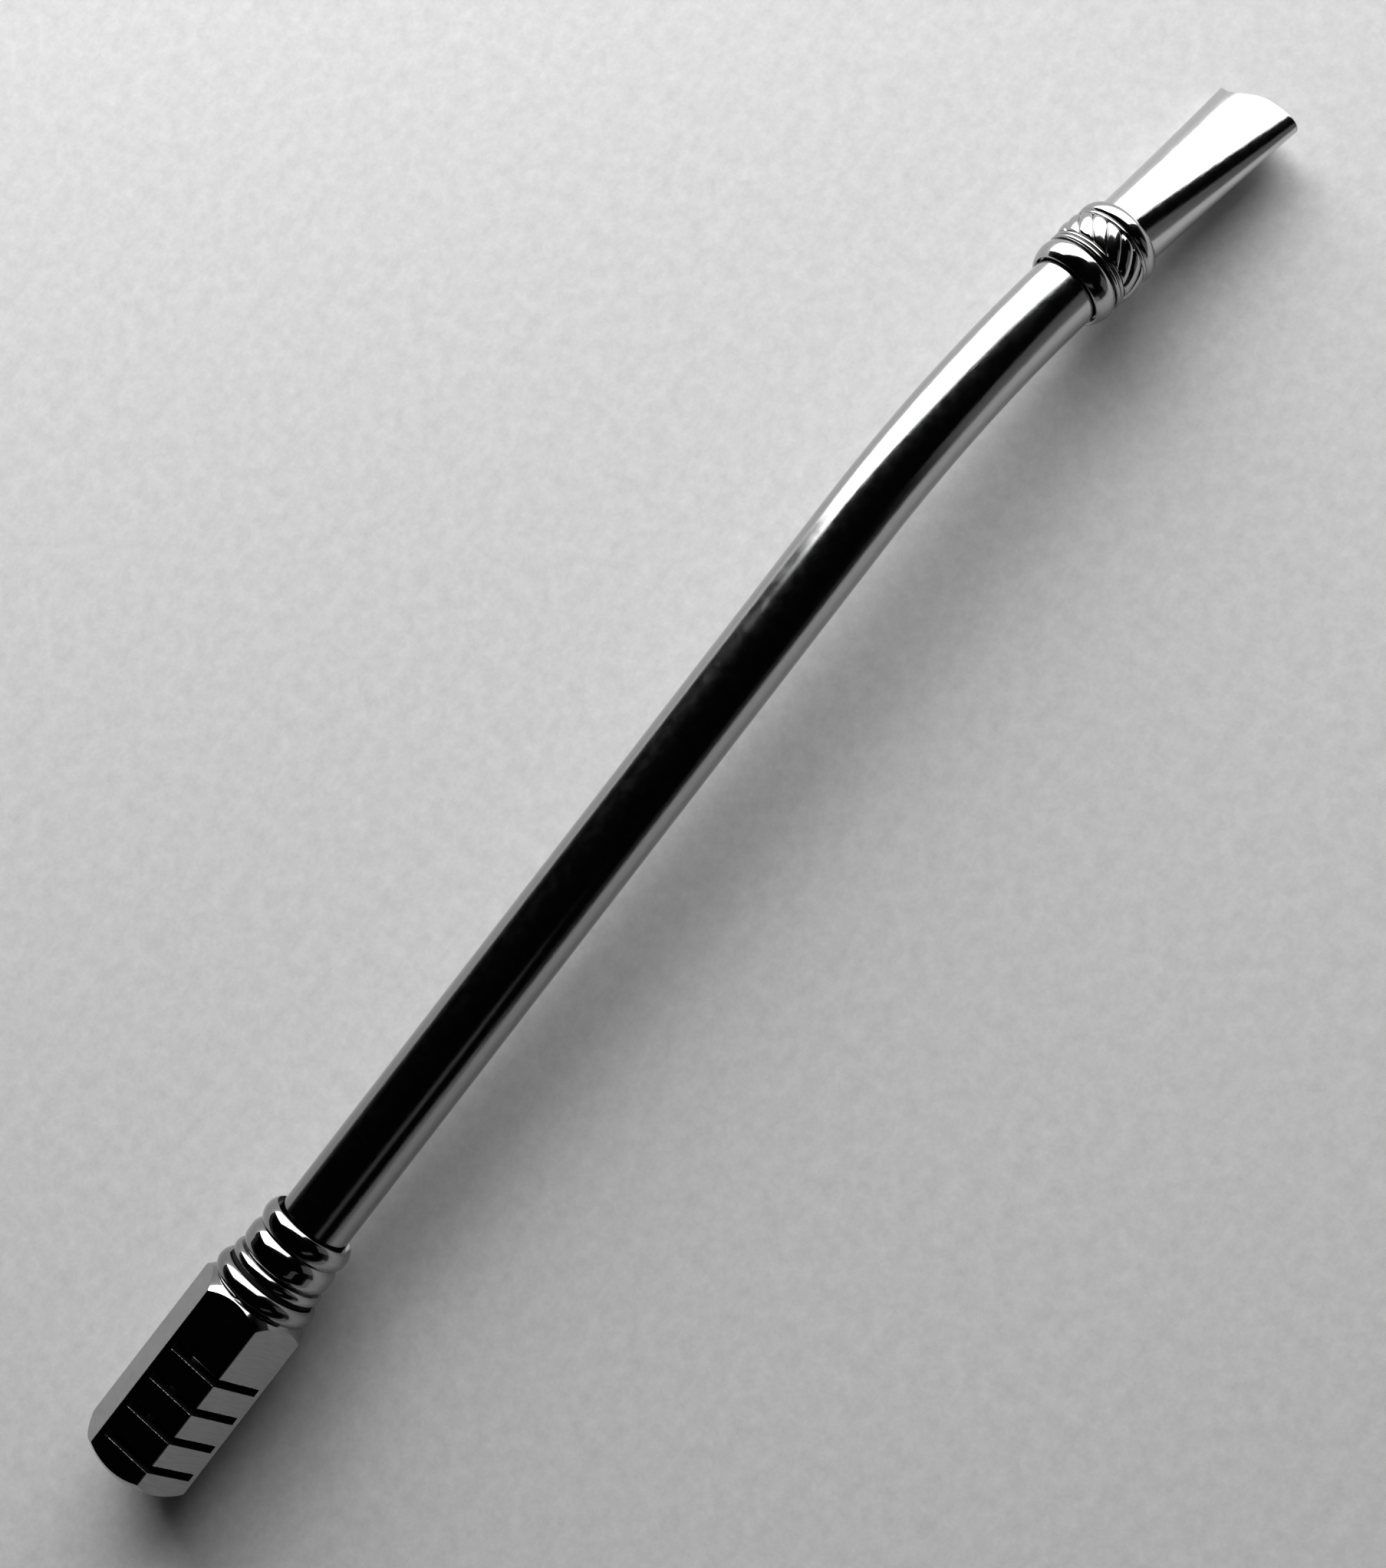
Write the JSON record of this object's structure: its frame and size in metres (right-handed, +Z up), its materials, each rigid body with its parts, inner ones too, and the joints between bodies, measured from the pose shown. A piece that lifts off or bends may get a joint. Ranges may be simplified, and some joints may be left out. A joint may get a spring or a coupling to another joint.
{
  "type": "bombilla drinking straw",
  "caption": "Bent metal straw for drinking mate, with a flattened mouthpiece, a roped collar and a slotted hexagonal strainer head that unscrews.",
  "frame": {"origin": "on the table, under the middle of the straw's outline seen from above", "axes": "+X along the straw from the strainer head to the mouthpiece, +Z up from the table, +Y to the left when looking towards the mouthpiece"},
  "size_m": [0.1861, 0.0167, 0.0135],
  "materials": {
    "stem_steel": "mirror polished drawn tube with fine handling marks",
    "neck_steel": "polished turned metal",
    "head_steel": "polished hexagonal bar with sawn slots",
    "collar_steel": "polished wire work, darker in the grooves",
    "seal_rubber": "matt black"
  },
  "bodies": {
    "straw": {"neck_ferrule": "neck_steel", "stem_tube": "stem_steel", "collar_sleeve": "collar_steel", "collar_lower_bead": "collar_steel", "collar_lower_wires": "collar_steel", "collar_rope_band": "collar_steel", "collar_upper_wire": "collar_steel", "collar_upper_bead": "collar_steel", "mouthpiece": "stem_steel"},
    "seal": {"seal_ring": "seal_rubber"},
    "head": {"filter_head": "head_steel"}
  },
  "joints": [
    {"name": "filter_turn", "type": "hinge", "parent": "straw", "child": "seal", "pos_m": [-0.06775, 0.00183, 0.00637], "axis": [-0.9995, 0, -0.0311], "range_deg": [0, 2304]},
    {"name": "filter_slide", "type": "slide", "parent": "seal", "child": "head", "axis": [-0.9995, 0, -0.0311], "range_m": [0, 0.0065]}
  ],
  "couplings": [
    {"joint": "filter_slide", "follows": "filter_turn", "m_per_rad": 0.00015915}
  ]
}
